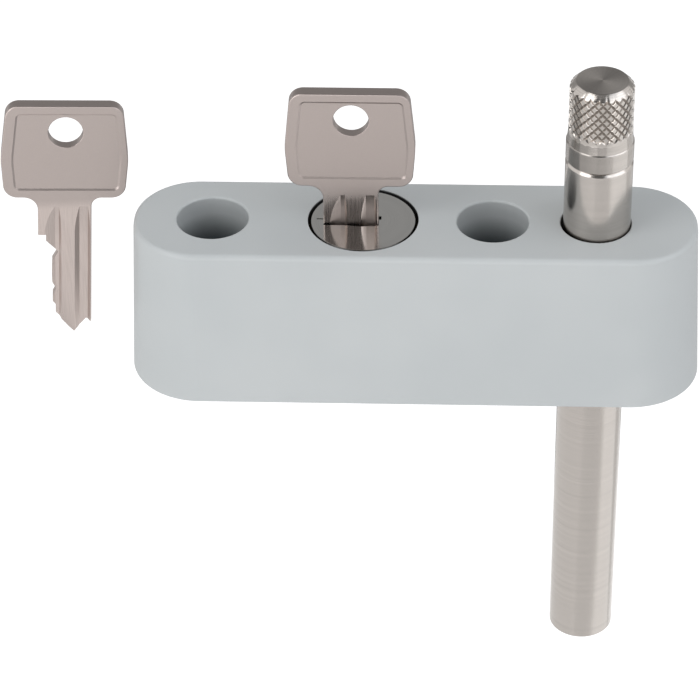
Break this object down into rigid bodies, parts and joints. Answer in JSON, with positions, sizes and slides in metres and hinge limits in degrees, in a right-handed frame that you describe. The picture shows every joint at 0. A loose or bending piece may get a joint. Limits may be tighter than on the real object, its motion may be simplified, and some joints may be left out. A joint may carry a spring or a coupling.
{
  "type": "sliding patio door rod lock",
  "caption": "Key operated surface lock for a sliding patio door: a grey block housing with two deep fixing wells, a key cylinder and a knurled push rod through it.",
  "frame": {"origin": "centre of the flat mounting face that lies on the door", "axes": "+X along the housing from the fixing hole beside the cylinder towards the rod, +Z away from the door along the rod and the cylinder, +Y across"},
  "size_m": [0.1267, 0.027, 0.1239],
  "materials": {
    "powder_coat": "satin light grey powder coat with a fine grain",
    "zinc_plated_steel": "zinc plated, satin",
    "polished_nickel": "polished nickel plate",
    "plain_brass": "machined brass",
    "spring_steel": "bright spring wire",
    "key_nickel": "nickel plated brass, fine tumbled satin",
    "turned_stainless": "fine turned stainless steel",
    "knurled_stainless": "knurled and turned stainless steel",
    "bush_plastic": "dark bearing plastic",
    "ring_rubber": "black nitrile rubber"
  },
  "bodies": {
    "body": {"housing": "powder_coat", "base_plate": "zinc_plated_steel", "base_plate_screws": "zinc_plated_steel", "cylinder_sleeve": "plain_brass", "cylinder_screws": "zinc_plated_steel", "rod_bush_lower": "bush_plastic", "rod_bush_upper": "bush_plastic", "rod_friction_ring": "ring_rubber", "rod_guide_key": "zinc_plated_steel", "spare_key": "key_nickel"},
    "plug": {"cylinder_plug": "polished_nickel", "plug_clip": "zinc_plated_steel", "drive_cam": "zinc_plated_steel", "drive_pin": "zinc_plated_steel", "cam_screw": "zinc_plated_steel", "wafer_1": "plain_brass", "wafer_2": "plain_brass", "wafer_3": "plain_brass", "wafer_4": "plain_brass", "wafer_5": "plain_brass", "wafer_6": "plain_brass", "wafer_spring_1": "spring_steel", "wafer_spring_2": "spring_steel", "wafer_spring_3": "spring_steel", "wafer_spring_4": "spring_steel", "wafer_spring_5": "spring_steel", "wafer_spring_6": "spring_steel"},
    "key_in_lock": {"key": "key_nickel"},
    "slide": {"locking_slide": "zinc_plated_steel"},
    "bolt": {"bolt_rod": "turned_stainless", "rod_knob": "knurled_stainless"}
  },
  "joints": [
    {"name": "bolt_slide", "type": "slide", "parent": "body", "child": "bolt", "axis": [0, 0, 1], "range_m": [-0.025, 0]},
    {"name": "plug_turn", "type": "hinge", "parent": "body", "child": "plug", "pos_m": [-0.00925, 0, 0.0311], "axis": [0, 0, -1], "range_deg": [0, 90]},
    {"name": "slide_travel", "type": "slide", "parent": "body", "child": "slide", "axis": [1, 0, 0], "range_m": [0, 0.00467]},
    {"name": "key_withdraw", "type": "slide", "parent": "plug", "child": "key_in_lock", "axis": [0, 0, 1], "range_m": [0, 0.03]}
  ],
  "couplings": [
    {"joint": "slide_travel", "follows": "plug_turn", "m_per_rad": 0.002971}
  ]
}
